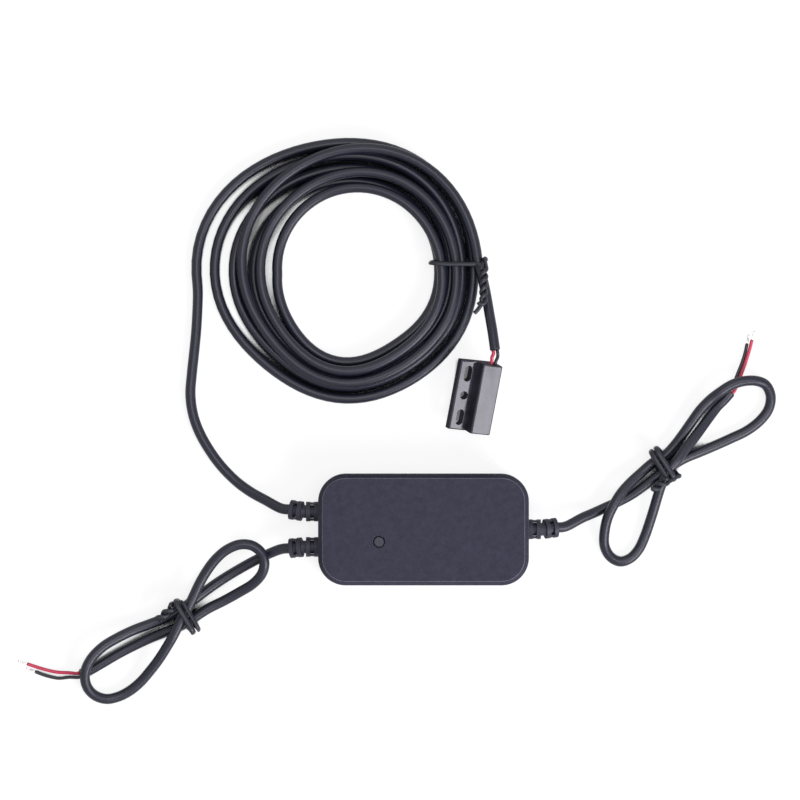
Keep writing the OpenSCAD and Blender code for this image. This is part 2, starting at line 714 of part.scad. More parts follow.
module status_led() {
    color("#e8e6d8") translate([button_xy.x - switch_side, button_xy.y, board_top]) {
        translate([0, 0, led_size.z / 4]) cube([led_size.x, led_size.y, led_size.z / 2], center = true);
        translate([0, 0, led_size.z / 2]) cube([led_size.x * 0.6, led_size.y, led_size.z], center = true);
    }
}

// Strain reliefs
module rib(k) {
    translate([k * rib_pitch, 0, 0]) rotate([0, 90, 0]) cylinder(h = rib_t, d = relief_d);
}

// Two ribs from number `first`, joined at their sides by webs that end inside them
module rib_pair(first) {
    rib(first);
    rib(first + 1);
    translate([first * rib_pitch + rib_t / 2, 0, 0]) intersection() {
        rotate([0, 90, 0]) cylinder(h = rib_pitch, d = relief_d - 2 * web_in);
        for (s = [-1, 1])
            translate([0, s * (relief_d - web_t) / 2 - web_t / 2, -relief_d / 2])
                cube([rib_pitch, web_t, relief_d]);
    }
}

module relief_core(from, to) {
    translate([from, 0, 0]) rotate([0, 90, 0]) cylinder(h = to - from, d = relief_core_d);
}

module strain_relief(port) {
    facing = port[0] < 0 ? 180 : 0;
    color(shell_black) translate([port[0] * body_l / 2, port[1], split_z]) rotate([0, 0, facing]) {
        translate([-wall, 0, 0]) rotate([0, 90, 0]) cylinder(h = wall + rib_t / 2, d = neck_d);
        translate([-wall - relief_flange_t, 0, 0]) rotate([0, 90, 0])
            cylinder(h = relief_flange_t, d = relief_flange_d);
        rib_pair(0);
        relief_core(rib_t / 4, relief_mid + rib_t);
        translate([relief_mid, 0, 0]) rotate([0, port[3], port[0] * port[2]]) translate([-relief_mid, 0, 0]) {
            rib_pair(2);
            relief_core(2 * rib_pitch + rib_t / 4, relief_l - rib_t / 4);
        }
    }
}

module inner_leads(port, colours) {
    from_x = body_l / 2 - wall - relief_flange_t - seat;
    pad_x = body_l / 2 - wall - pad_from_end;
    low = board_top + wire_d / 2 + lead_lift;
    for (k = [0, 1]) {
        s = 2 * k - 1;
        y = port[1] + s * lead_spread / 2;
        color(colours[k]) tube(smooth([
            [port[0] * from_x, y, split_z], [port[0] * (from_x - wire_d), y, split_z - 0.2],
            [port[0] * between(from_x, pad_x, 0.55), y + s * 0.3, between(split_z, low, 0.6)],
            [port[0] * between(from_x, pad_x, 0.8), y + s * 0.4, low],
            [port[0] * pad_x, y + s * 0.4, low]
        ], 2), wire_d, first = [-port[0], 0, 0]);
    }
}

// Cables and cores
module sensor_lead() {
    color(jacket) tube(sensor_route, cable_d, to = coil_first, first = heading_out(sensor_port));
}

module sensor_coil() {
    echo(coil_length = len_of(coil_points), coil_gap = least_gap(coil_points, cable_d, coil_steps / 2));
    color(jacket)
        tube(sensor_route, cable_d, from = coil_first, to = coil_last, first = heading_out(sensor_port));
}

module sensor_tail() {
    color(jacket) tube(sensor_route, cable_d, from = coil_last, first = heading_out(sensor_port));
}

function len_of(pts) = len(pts) < 2 ? 0 : sum([for (i = [1 : len(pts) - 1]) norm(pts[i] - pts[i - 1])]);
function sum(list) = list * [for (x = list) 1];

module short_cable(route, bends, port) {
    fine = smooth(bends, 4);
    echo(cable_length = len_of(fine), cable_gap = least_gap(fine, cable_d, 12));
    color(jacket) tube(route, cable_d, first = heading_out(port));
}

module core(route, colour, cable) {
    color(colour) tube(route, wire_d, first = last_course(cable));
}

module tips(routes) {
    color(tinned) for (r = routes) {
        dir = last_course(r);
        tube([for (x = [seat, tip_l / 2, tip_l]) last_of(r) + x * dir], tip_d, first = dir);
    }
}

module tie(route, along) {
    color(jacket) tube(route, tie_d, sides = 6, across = along);
}

module coil_tie() {
    middle = [(coil_tie_x[0] + coil_tie_x[1]) / 2, coil_point(tie_u).y, coil_tie_top / 2];
    tie(tie_route(middle, [0, 1, 0], (coil_tie_x[1] - coil_tie_x[0]) / 2, coil_tie_top / 2 - tie_d / 2, 1,
                  unit([-0.02, -1, 0.14]), coil_twist_l, 2, coil_twist_shift, coil_tips), [0, 1, 0]);
}

module trigger_tie() {
    along = unit([-0.84, -0.54, 0]);
    tie(tie_route([trigger_tie_at.x, trigger_tie_at.y, bow_tie_z], along, bow_tie_half,
                  bow_tie_z - tie_d / 2, 2,
                  unit([-0.75, -0.66, -0.2]), bow_twist_l, 1, trigger_twist_shift), along);
}

module power_tie() {
    along = unit([0.83, 0.56, 0]);
    tie(tie_route([power_tie_at.x, power_tie_at.y, bow_tie_z], along, bow_tie_half,
                  bow_tie_z - tie_d / 2, 2,
                  unit([-0.87, -0.5, -0.03]), bow_twist_l, 1, power_twist_shift), along);
}

// Contact sensor
module in_sensor() {
    translate(sensor_place) rotate(sensor_turn) children();
}

module slot(h) {
    half = (slot_l - slot_w) / 2;
    linear_extrude(h) {
        square([slot_w, 2 * half], center = true);
        for (s = [-1, 1]) translate([0, s * half]) circle(d = slot_w);
    }
}

module sensor_case() {
    cavity = [block_w - 2 * case_wall, sensor_l - 2 * back_wall, block_h - roof_t];
    color(gloss_black) in_sensor() difference() {
        union() {
            translate([-sensor_w / 2, -sensor_l / 2, 0]) cube([sensor_w, sensor_l, flange_t]);
            translate([block_x, -sensor_l / 2, 0]) cube([block_w, sensor_l, block_h]);
        }
        difference() {
            translate([block_x + case_wall, -cavity.y / 2, -past])
                cube([cavity.x, cavity.y, cavity.z + past]);
            for (s = [-1, 1]) translate([reed_at.x, s * reed_rib_y, 0]) difference() {
                translate([-cavity.x / 2 - past, -reed_rib_t / 2, reed_at.z + reed_lead_d])
                    cube([cavity.x + 2 * past, reed_rib_t, cavity.z - reed_at.z + past]);
                translate([0, 0, reed_at.z]) rotate([90, 0, 0])
                    cylinder(h = 2 * reed_rib_t, d = reed_d + 2 * back_gap, center = true);
            }
        }
        translate([hole_x, 0, -past]) cylinder(h = flange_t + 2 * past, d = screw_d);
        for (s = [-1, 1]) translate([hole_x, s * slot_spacing / 2, -past]) slot(flange_t + 2 * past);
        for (s = [-1, 1]) translate([wire_entry_x + s * wire_step / 2, sensor_l / 2 + past, wire_entry_z])
            rotate([90, 0, 0]) cylinder(h = back_wall + 2 * past, d = wire_d + 2 * wire_gap);
    }
}

module sensor_back_plate() {
    color(gloss_black) in_sensor()
        translate([block_x + case_wall + back_gap, -sensor_l / 2 + back_wall + back_gap, 0])
            cube([block_w - 2 * case_wall - 2 * back_gap, sensor_l - 2 * back_wall - 2 * back_gap, back_t]);
}

module reed_switch() {
    color("#9fc7b8") in_sensor() translate(reed_at) rotate([90, 0, 0])
        cylinder(h = reed_l, d = reed_d, center = true);
}

// One lead points at the wires, the other turns back beside the glass
module reed_leads() {
    back_x = reed_d / 2 + reed_lead_d;
    reed_bend = 2;
    far_y = -reed_l / 2 - reed_bend;
    color(tinned) in_sensor() translate(reed_at) {
        translate([0, reed_lead_end, 0]) rotate([90, 0, 0])
            cylinder(h = reed_lead_end - reed_l / 2 - seat, d = reed_lead_d);
        translate([0, -reed_l / 2 - seat, 0]) rotate([90, 0, 0])
            cylinder(h = reed_bend, d = reed_lead_d);
        translate([-reed_lead_d / 2, far_y, 0]) rotate([0, 90, 0])
            cylinder(h = back_x + reed_lead_d, d = reed_lead_d);
        translate([back_x, reed_lead_end, 0]) rotate([90, 0, 0])
            cylinder(h = reed_lead_end - far_y, d = reed_lead_d);
    }
}

bottom_shell();
top_cover();
button_cap();
switch_plunger();
tact_switch();
circuit_board();
radio_module();
radio_shield();
relay();
inductor();
capacitors();
chips();
status_led();
strain_relief(sensor_port);  // sensor_strain_relief
strain_relief(trigger_port);  // trigger_strain_relief
strain_relief(power_port);  // power_strain_relief
inner_leads(sensor_port, [wire_red, wire_black]);  // sensor_inner_leads
inner_leads(trigger_port, [wire_red, wire_black]);  // trigger_inner_leads
inner_leads(power_port, [wire_black, wire_red]);  // power_inner_leads
sensor_lead();
sensor_coil();
sensor_tail();
coil_tie();
core(sensor_core(-1, 0.1), wire_red, sensor_route);  // sensor_red_wire
core(sensor_core(1, 0.5), wire_black, sensor_route);  // sensor_black_wire
sensor_case();
sensor_back_plate();
reed_switch();
reed_leads();
short_cable(trigger_route, trigger_bends, trigger_port);  // trigger_cable
trigger_tie();
core(trigger_red_route, wire_red, trigger_route);  // trigger_red_wire
core(trigger_black_route, wire_black, trigger_route);  // trigger_black_wire
tips([trigger_red_route, trigger_black_route]);  // trigger_wire_tips
short_cable(power_route, power_bends, power_port);  // power_cable
power_tie();
core(power_red_route, wire_red, power_route);  // power_red_wire
core(power_black_route, wire_black, power_route);  // power_black_wire
tips([power_red_route, power_black_route]);  // power_wire_tips
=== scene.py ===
import math

import bmesh
import bpy
from mathutils import Euler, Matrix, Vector


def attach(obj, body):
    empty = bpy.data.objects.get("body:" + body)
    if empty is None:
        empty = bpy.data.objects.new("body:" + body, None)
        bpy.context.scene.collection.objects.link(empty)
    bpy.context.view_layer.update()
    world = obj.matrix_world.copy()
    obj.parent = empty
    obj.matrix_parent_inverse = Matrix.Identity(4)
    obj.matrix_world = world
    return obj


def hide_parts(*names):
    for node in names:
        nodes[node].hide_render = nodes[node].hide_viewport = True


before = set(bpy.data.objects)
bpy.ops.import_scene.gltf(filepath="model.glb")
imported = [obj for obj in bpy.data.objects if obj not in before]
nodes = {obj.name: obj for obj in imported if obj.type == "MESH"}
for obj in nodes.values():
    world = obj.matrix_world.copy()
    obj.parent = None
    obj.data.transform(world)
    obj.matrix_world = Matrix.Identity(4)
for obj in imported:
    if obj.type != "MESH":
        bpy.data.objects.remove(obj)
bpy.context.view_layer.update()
scene = bpy.context.scene
mm = 0.001  # every length below is in millimetres until it becomes a mesh
up = Vector((0, 0, 1))
print("frame loaded:", len(nodes), "nodes")


# the picture is taken straight from above
topView = {"middle": (-8.87, 48.95), "height": 2400, "width": 303.2, "scaleAt": 8, "sensor": 36,
           "clip": (50, 50000)}


def placeCamera(view):
    data = bpy.data.cameras.new("topCamera")
    data.sensor_width = view["sensor"]
    data.lens = view["sensor"] * (view["height"] - view["scaleAt"]) / view["width"]
    data.clip_start, data.clip_end = (c * mm for c in view["clip"])
    camera = bpy.data.objects.new("topCamera", data)
    camera.location = Vector((*view["middle"], view["height"])) * mm
    scene.collection.objects.link(camera)
    scene.camera = camera


placeCamera(topView)


# lines that cables, cores and ties follow
def smoothLine(bends, steps):
    line = []
    for i in range(len(bends) - 1):
        a, b = bends[max(i - 1, 0)], bends[i]
        c, d = bends[i + 1], bends[min(i + 2, len(bends) - 1)]
        for k in range(steps):
            t = k / steps
            line.append(0.5 * (2 * b + (c - a) * t + (2 * a - 5 * b + 4 * c - d) * t ** 2
                               + (3 * b - a - 3 * c + d) * t ** 3))
    return line + [bends[-1]]


def bendsOf(rows):
    return [Vector(r) for r in rows]


def ease(t):
    t = min(max(t, 0), 1)
    return t * t * (3 - 2 * t)


def lastCourse(line):
    return (line[-1] - line[-2]).normalized()


def squareTo(v, course):
    return (v - v.dot(course) * course).normalized()


def lengthOf(line):
    return sum((b - a).length for a, b in zip(line, line[1:]))


def inMetres(line):
    return [p * mm for p in line]


def addPiece(name, mesh):
    piece = bpy.data.objects.new(name, mesh)
    scene.collection.objects.link(piece)
    return piece


slimEnd = 0.84  # share of its width that a tube keeps at its ends


# rings of corners round a line, and how far along it each ring lies
def tubeRings(along, courses, top, diameter, sides, wobble):
    corners, travelled, run, whole = [], [], 0, lengthOf(along)
    for i, p in enumerate(along):
        top = squareTo(top, courses[i])
        across = top.cross(courses[i])
        run += (p - along[i - 1]).length if i else 0
        travelled.append(run)
        radius = diameter / 2 * (slimEnd if i in (0, len(along) - 1) else 1)
        for k in range(sides):
            angle = 2 * math.pi * k / sides
            r = radius * (1 + wobble(angle, run, run / whole)) if wobble else radius
            corners.append(p + r * (math.cos(angle) * across + math.sin(angle) * top))
    return corners, travelled


# quads between the rings and a cap at each end, with their places on the unrolled skin
def tubeFaces(travelled, sides):
    faces, spots = [], []
    for i in range(len(travelled) - 1):
        v, w = travelled[i] * mm, travelled[i + 1] * mm
        for k in range(sides):
            n = (k + 1) % sides
            faces.append((i * sides + k, (i + 1) * sides + k, (i + 1) * sides + n, i * sides + n))
            spots += [(k / sides, v), (k / sides, w), ((k + 1) / sides, w), ((k + 1) / sides, v)]
    end = (len(travelled) - 1) * sides
    faces += [tuple(range(sides)), tuple(end + k for k in reversed(range(sides)))]
    spots += [(k / sides, 0) for k in range(sides)]
    spots += [(k / sides, travelled[-1] * mm) for k in reversed(range(sides))]
    return faces, spots


# a tube along a line; wobble(angle, distance, share of the way) swells its skin
def sweepTube(name, line, diameter, sides, softEnd, startCourse=None, wobble=None, startTop=up):
    first, last = line[0], line[-1]
    along = [first, first + (line[1] - first).normalized() * softEnd, *line[1:-1],
             last + (line[-2] - last).normalized() * softEnd, last]
    courses = [(along[min(i + 1, len(along) - 1)] - along[max(i - 1, 0)]).normalized()
               for i in range(len(along))]
    if startCourse:
        courses[0] = courses[1] = startCourse
    corners, travelled = tubeRings(along, courses, startTop, diameter, sides, wobble)
    faces, spots = tubeFaces(travelled, sides)
    mesh = bpy.data.meshes.new(name)
    mesh.from_pydata(inMetres(corners), [], faces)
    skin = mesh.uv_layers.new(name="alongSkin")
    skin.data.foreach_set("uv", [x for s in spots for x in s])
    mesh.shade_smooth()
    return addPiece(name, mesh)


# where the cables leave the box: side, y, yaw towards +Y and droop in degrees
ports = {"sensor": (-1, 6.7, 8, 12), "trigger": (-1, -6.7, -6, 12), "power": (1, 0, 7, 14)}
box = {"halfLength": 39.8, "partingZ": 9.5, "reliefLength": 10.8}
seat = 0.02  # clearance where one piece meets the next


def headingOut(port):
    side, _, yaw, droop = ports[port]
    yaw, droop = math.radians(yaw), math.radians(droop)
    return Vector((side * math.cos(droop) * math.cos(yaw), math.cos(droop) * math.sin(yaw), -math.sin(droop)))


def exitOf(port):
    side, y = ports[port][:2]
    half = box["reliefLength"] / 2
    knee = Vector((side * (box["halfLength"] + half), y, box["partingZ"]))
    return knee + (half + seat) * headingOut(port)


cable = {"diameter": 3.9, "sides": 24, "softEnd": 0.25, "layerGap": 0.5, "bendSteps": 8, "turnSteps": 80,
         "twist": 0.006, "twistRun": 9, "ripple": 0.004, "rippleRun": 2.3}
tieWire = {"diameter": 1.6, "sides": 14, "softEnd": 0.15, "room": 0.3}
rest = cable["diameter"] / 2
layer = cable["diameter"] + cable["layerGap"]
tieLift = tieWire["diameter"] + tieWire["room"]  # a tie passes under the bundle
waist = rest + tieLift
waistTop = waist + layer

# the sensor cable winds in below, turns and winds out again on top
coil = {"turns": 6.485, "inward": 4, "middle": (-25.8, 96.9), "radius": (29.6, 31.4), "pitch": 4.6,
        "fan": (2.95, 1.1), "fanTurn": 10, "fanPower": 4.5, "fanCurve": 0.7, "bulge": 1,
        "kink": 2.3, "kinkAt": 278, "kinkRate": 2.6,
        "reversal": 0.25, "nest": 0.5, "drift": 0.9, "driftSpan": (5.9, 6.25)}


# a dent that all the turns share
def coilKink(angle):
    turned = angle - coil["kinkAt"]
    d = math.radians(turned - 360 * round(turned / 360))
    return -coil["kink"] * math.sin(coil["kinkRate"] * d) * max(math.cos(d), 0) ** 2


# 0 before the span of turns, 1 after it
def passed(u, start, end):
    return ease((u - start) / (end - start))


def coilPoint(u):
    angle = 180 - 360 * u
    a = math.radians(angle)
    inward, reversal = coil["inward"], coil["reversal"]
    climb = passed(u, inward - reversal, inward + reversal)
    settled = passed(u, inward + reversal, inward + 3 * reversal)
    atTie = (1 + math.cos(a)) / 2  # 1 at the tie, 0 across from it
    lane = abs(inward - u) + coil["nest"] * settled * atTie + coil["drift"] * passed(u, *coil["driftSpan"])
    share = lane / inward
    below, above = coil["fan"]
    opening = (1 - math.cos(math.radians(angle + coil["fanTurn"]))) / 2
    fan = (below + (above - below) * climb) * opening ** coil["fanPower"]
    out = (inward * (coil["pitch"] * share + fan * share ** coil["fanCurve"])
           - coil["bulge"] * share * math.cos(3 * a) + coilKink(angle))
    return Vector((coil["middle"][0] + (coil["radius"][0] + out) * math.cos(a),
                   coil["middle"][1] + (coil["radius"][1] + out) * math.sin(a),
                   rest + layer * climb + tieLift * atTie))


def fromPort(port, rows):
    return [exitOf(port), exitOf(port) + cable["diameter"] * headingOut(port), *bendsOf(rows)]


leadRows = [
    (-60, 11, 5.5), (-65.5, 14, 3.7), (-71, 18, 2.5), (-76.5, 23.5, 2), (-81, 29.5, rest), (-85, 36.5, rest),
    (-87.5, 43.5, rest), (-88.5, 51, rest), (-88, 58.5, rest), (-87.2, 66, rest), (-86.4, 74, rest),
    (-85.9, 82, rest), (-85.7, 90, rest)]
tailRows = [(22.4, 95, 8.4), (23.8, 88.5, 9.2), (25, 81.5, 10.4), (26.1, 75, 11.8), (27.1, 67.8, 13)]
triggerRows = [
    (-60, -10, 6), (-65.5, -12.8, 4.6), (-71, -15.9, 3.6), (-77, -19.6, 3.2), (-83, -23.8, 3.4),
    (-88, -27.6, waist), (-92.5, -30.8, waist), (-98, -33.8, 3.5),
    (-103.5, -36, 3.4), (-109.5, -38.2, 4.1), (-115.5, -41, 5.2), (-121.5, -44.6, 6.1), (-126, -49.2, 6.5),
    (-128.3, -54.4, 6.4), (-127.8, -59.4, 5.2), (-125, -63, 3.6), (-120.6, -64.6, 2.5), (-116, -63.8, 2),
    (-111.5, -61.5, 2.1), (-107.5, -58.2, 2.7), (-104, -54.2, 3.7), (-100.6, -49.8, 5), (-97.6, -45.2, 6.5),
    (-94.8, -40.4, 7.9), (-92.2, -35.2, waistTop), (-89.5, -30.4, waistTop),
    (-87.2, -25.6, 8.3), (-84.8, -20.5, 8.7), (-82, -15.7, 9.5), (-78.7, -11.4, 10.4), (-74.7, -7.9, 11.1),
    (-69.8, -5.8, 11.4), (-65, -6.1, 11.4), (-61.4, -8.8, 11), (-60.2, -12.8, 10), (-61.3, -17, 8.2),
    (-64.7, -20.8, 6.3), (-69.7, -23.9, 4.9), (-75.8, -27.3, 4), (-82, -30.4, waist), (-87.5, -34, waist),
    (-92.5, -37, waist), (-98, -39.2, 3.3), (-104, -41.6, 2.5), (-110, -44.4, 2.1), (-116, -47.5, 2),
    (-122, -51, rest), (-126.5, -53.6, rest), (-130.2, -55.2, rest)]
powerRows = [
    (60, 4.1, 5.3), (64.5, 6, 3.5), (69.2, 8.1, 2.5), (74, 10.3, 2.3), (79, 13, 2.7), (84, 16.5, 3.4),
    (88.8, 20, waist), (93.8, 23.6, waist),
    (99.2, 26.8, 3.2), (105, 29.2, 2.5), (111, 31.7, 2.1), (117, 34.4, 2), (122.8, 37.2, 2),
    (127.7, 40.9, 2.1), (131.1, 45.4, 2.3), (131.9, 50.4, 3.2), (130, 54.6, 4.4), (126.2, 56.2, 5.6),
    (121.6, 56.1, 6.2), (117, 54.7, 6.4), (112.8, 52.1, 6.2), (109, 49.2, 5.3), (105.2, 45.3, 4.9),
    (102, 40.9, 4.5), (98.8, 36.3, 4.1), (95.5, 31.9, 3.8),
    (91.6, 27.8, waist), (87, 25, waist),
    (82.8, 21.4, 4.2), (78.7, 17.7, 5.2), (75, 13.6, 6.4), (72.1, 9, 6.9), (69.8, 4, 6.4), (68.7, -1.4, 5),
    (68.8, -6.4, 3.5), (70.9, -10.4, 2.4), (74.6, -12.4, 2.1), (78.6, -11.2, 2), (81.8, -7.8, 2),
    (84, -3.2, 2.2), (85.8, 2, 2.9), (87.4, 7.2, 4.2), (88.8, 12.2, 5.9), (90.4, 17.2, 7.6),
    (92.9, 22.2, waistTop), (96.1, 26, waistTop),
    (98.9, 29.9, 7.4), (102.1, 33.8, 6.2), (105.3, 38, 4.9), (108.5, 42.4, 3.6), (111.6, 46.4, 2.6),
    (114.5, 49.3, 2.1), (116.8, 52, rest)]

coilSteps = round(coil["turns"] * cable["turnSteps"])
coilLine = [coilPoint(coil["turns"] * i / coilSteps) for i in range(coilSteps + 1)]
sensorLine = (smoothLine(fromPort("sensor", leadRows) + [coilLine[0]], cable["bendSteps"])[:-1] + coilLine
              + smoothLine([coilLine[-1]] + bendsOf(tailRows), cable["bendSteps"])[1:])
triggerLine = smoothLine(fromPort("trigger", triggerRows), cable["bendSteps"])
powerLine = smoothLine(fromPort("power", powerRows), cable["bendSteps"])


# the jacket follows the two twisted cores a little
def jacketWobble(angle, run, share):
    return (cable["twist"] * math.cos(2 * angle - run / cable["twistRun"])
            + cable["ripple"] * math.sin(run / cable["rippleRun"]))


def makeCable(name, line, port):
    return sweepTube(name, line, cable["diameter"], cable["sides"], cable["softEnd"], headingOut(port),
                     jacketWobble)


sensorCable = makeCable("sensorCable", sensorLine, "sensor")
triggerCable = makeCable("triggerCable", triggerLine, "trigger")
powerCable = makeCable("powerCable", powerLine, "power")
print("cables:", *(round(lengthOf(line)) for line in (sensorLine, triggerLine, powerLine)), "mm")


# the contact sensor leans on the table beside the coil
sensor = {"turn": (11.6, 25.2, -5.7), "xy": (17.5, 51.2), "length": 27, "blockWidth": 8, "flangeWidth": 7.2,
          "wireX": 4.5, "wireZ": 6, "wireStep": 1.7, "wireSunk": 3, "wireBend": 0.62, "wireLift": 0.2}
sensorWidth = sensor["blockWidth"] + sensor["flangeWidth"]
sensorTurn = Euler([math.radians(t) for t in sensor["turn"]], "XYZ").to_matrix()
sensorLow = min((sensorTurn @ Vector((sx * sensorWidth / 2, sy * sensor["length"] / 2, 0))).z
                for sx in (-1, 1) for sy in (-1, 1))
sensorPlace = Vector((*sensor["xy"], seat - sensorLow))


def onSensor(x, y, z):
    return sensorPlace + sensorTurn @ Vector((x, y, z))


# insulated cores start side by side in the end of their cable
core = {"diameter": 1.3, "sides": 16, "softEnd": 0.12, "out": 0.8, "steps": 8}


def coreStart(line, side):
    course = lastCourse(line)
    return line[-1] + seat * course + side * core["out"] * squareTo(course.cross(up), course)


def coreLine(line, side, rows):
    start = coreStart(line, side)
    return smoothLine([start, start + core["diameter"] * lastCourse(line), *bendsOf(rows)], core["steps"])


def sensorCoreLine(side, bulge):
    x = sensor["wireX"] + side * sensor["wireStep"] / 2
    half, z = sensor["length"] / 2, sensor["wireZ"]
    start, mouth = coreStart(sensorLine, -side), onSensor(x, half + core["diameter"], z)
    bend = start.lerp(mouth, sensor["wireBend"]) + Vector((side * bulge, 0, sensor["wireLift"]))
    return smoothLine([start, start + core["diameter"] * lastCourse(sensorLine), bend, mouth,
                       onSensor(x, half, z), onSensor(x, half - sensor["wireSunk"], z)], core["steps"])


coreLines = {
    "sensorRedCore": sensorCoreLine(-1, 0.1),
    "sensorBlackCore": sensorCoreLine(1, 0.5),
    "triggerRedCore": coreLine(triggerLine, 1, [
        (-134.5, -54.7, 1.6), (-139, -54.5, 1.2), (-143, -53.7, 1.3), (-147, -52.5, 1.6),
        (-150.5, -51.3, 2)]),
    "triggerBlackCore": coreLine(triggerLine, -1, [
        (-134.5, -56.4, 1.4), (-138.5, -56.8, 1), (-142, -56.2, 0.8), (-145, -55.3, 0.8),
        (-147.5, -54.3, 0.9)]),
    "powerRedCore": coreLine(powerLine, 1, [
        (119.4, 55, 1.7), (120.9, 59, 1.6), (122.5, 63.4, 1.8), (123.9, 68, 2.4), (124.8, 71.7, 3)]),
    "powerBlackCore": coreLine(powerLine, -1, [
        (118, 55.2, 1.2), (119.5, 59, 0.9), (121.1, 63, 1), (122.3, 66.9, 1.3), (123, 70.3, 1.6)])}
cores = {name: sweepTube(name, line, core["diameter"], core["sides"], core["softEnd"])
         for name, line in coreLines.items()}

# tinned ends are twisted strands, run together by the tin
tip = {"length": 3.6, "diameter": 0.8, "sides": 36, "steps": 24, "softEnd": 0.15,
       "strands": 6, "lay": 1.6, "groove": 0.1}


def strandWobble(angle, run, share):
    return tip["groove"] * (math.cos(tip["strands"] * angle + run * tip["lay"]) - 1)


def tinnedTip(name, line):
    course = lastCourse(line)
    start, span = line[-1] + seat * course, tip["length"] - seat
    strand = [start + course * span * i / tip["steps"] for i in range(tip["steps"] + 1)]
    return sweepTube(name, strand, tip["diameter"], tip["sides"], tip["softEnd"], course, strandWobble)


def joined(name, *parts):
    bpy.ops.object.select_all(action="DESELECT")
    for p in parts:
        p.select_set(True)
    bpy.context.view_layer.objects.active = parts[0]
    bpy.ops.object.join()
    parts[0].name = parts[0].data.name = name
    return parts[0]


def tipPair(name, red, black):
    return joined(name, tinnedTip(name, coreLines[red]), tinnedTip(name + "Black", coreLines[black]))


triggerTips = tipPair("triggerTips", "triggerRedCore", "triggerBlackCore")
powerTips = tipPair("powerTips", "powerRedCore", "powerBlackCore")

# twist ties: loops round the bundle, then both ends twisted together
tieShape = {"round": 48, "square": 5, "slack": 0.35, "open": 30, "wrapGap": 0.7, "neck": 2.5,
            "twistSteps": 24, "twistGap": 0.12, "tipSteps": 5, "bowHalf": 6.9,
            "band": 2.2, "bandThin": 0.12, "bandEase": 0.04}


def powerOf(c):
    return math.copysign(abs(c) ** (2 / tieShape["square"]), c)


def tieLoop(tie):
    lateral = tie["along"].cross(up).normalized()
    halfWidth, halfHeight = tie["half"]
    wraps, step = tie["wraps"], tieWire["diameter"] + tieShape["wrapGap"]
    loop, count = [], tieShape["round"] * tie["wraps"]
    for i in range(count + 1):
        t = i / count
        a = math.radians(90 - tieShape["open"] + t * (360 * wraps - tieShape["open"]))
        loop.append(tie["middle"] + halfWidth * powerOf(math.cos(a)) * lateral
                    + halfHeight * powerOf(math.sin(a)) * up + step * wraps * (t - 0.5) * tie["along"])
    return loop


def withTip(strand, bends):
    end = strand[-1]
    return strand[:-1] + smoothLine([end] + [end + Vector(b) for b in bends], tieShape["tipSteps"])


def tieEnds(tie, loop):
    course = tie["course"].normalized()
    base = loop[0].lerp(loop[-1], 0.5) + tieShape["neck"] * course + Vector(tie["shift"])
    e1 = squareTo(loop[0] - loop[-1], course)
    e2 = course.cross(e1)
    radius = tieWire["diameter"] / 2 + tieShape["twistGap"]
    one, other, count = [], [], tie["twists"] * tieShape["twistSteps"]
    for k in range(count + 1):
        p = base + tie["length"] * k / count * course
        a = 2 * math.pi * k / tieShape["twistSteps"]
        swing = radius * (math.cos(a) * e1 + math.sin(a) * e2)
        one.append(p + swing)
        other.append(p - swing)
    return [withTip(strand, bends) for strand, bends in zip((one, other), tie["tips"])]


def makeTie(name, tie):
    loop = tieLoop(tie)
    one, other = tieEnds(tie, loop)
    line = [*reversed(one), *loop, *other]
    loopFrom = lengthOf(line[:len(one) + 2]) / lengthOf(line)
    loopTo = lengthOf(line[:len(one) + len(loop) - 1]) / lengthOf(line)

    # flat in the loop, round where the ends are twisted
    def bandWobble(angle, run, share):
        flat = ease(min(share - loopFrom, loopTo - share) / tieShape["bandEase"])
        wide = 1 + flat * (tieShape["band"] / tieWire["diameter"] - 1)
        thick = 1 - flat * tieShape["bandThin"]
        return 1 / math.hypot(math.sin(angle) / wide, math.cos(angle) / thick) - 1

    return sweepTube(name, line, tieWire["diameter"], tieWire["sides"], tieWire["softEnd"], wobble=bandWobble,
                     startTop=tie["along"])


tiedTurns = [coilPoint(coil["turns"] - k) for k in range(int(coil["turns"]) + 1)]
reach = rest + tieWire["diameter"] / 2 + tieShape["slack"]
tieLeft, tieRight = min(p.x for p in tiedTurns) - reach, max(p.x for p in tiedTurns) + reach
tieTop = max(p.z for p in tiedTurns) + rest + tieWire["diameter"] + tieShape["slack"]
bowHigh = waistTop + rest + tieShape["slack"]
bowMiddle = (bowHigh + tieWire["diameter"]) / 2
plainTips = ((), ())
coilTips = (  # one runs down over the turns, the other curls into a hook
    [(0.1, -1, -0.5), (-0.1, -2.2, -1.2), (-0.8, -3.4, -1.7), (-1.7, -4.5, -2), (-2.6, -5.4, -2.2)],
    [(-0.1, -0.8, 0.3), (-0.7, -1.6, 0.6), (-1.6, -1.9, 0.8), (-2.4, -1.7, 0.9), (-2.9, -1.1, 1)])
coilTie = makeTie("coilTie", {
    "middle": Vector(((tieLeft + tieRight) / 2, tiedTurns[0].y, tieTop / 2)), "along": Vector((0, 1, 0)),
    "half": ((tieRight - tieLeft) / 2, (tieTop - tieWire["diameter"]) / 2), "wraps": 1,
    "course": Vector((-0.02, -1, 0.14)), "length": 12, "twists": 2, "shift": (0.9, 0, 1.8),
    "tips": coilTips})
triggerTie = makeTie("triggerTie", {
    "middle": Vector((-90.2, -33, bowMiddle)), "along": Vector((-0.84, -0.54, 0)).normalized(),
    "half": (tieShape["bowHalf"], bowHigh / 2), "wraps": 2,
    "course": Vector((-0.75, -0.66, -0.2)), "length": 7, "twists": 1, "shift": (0, 0, 0.2),
    "tips": plainTips})
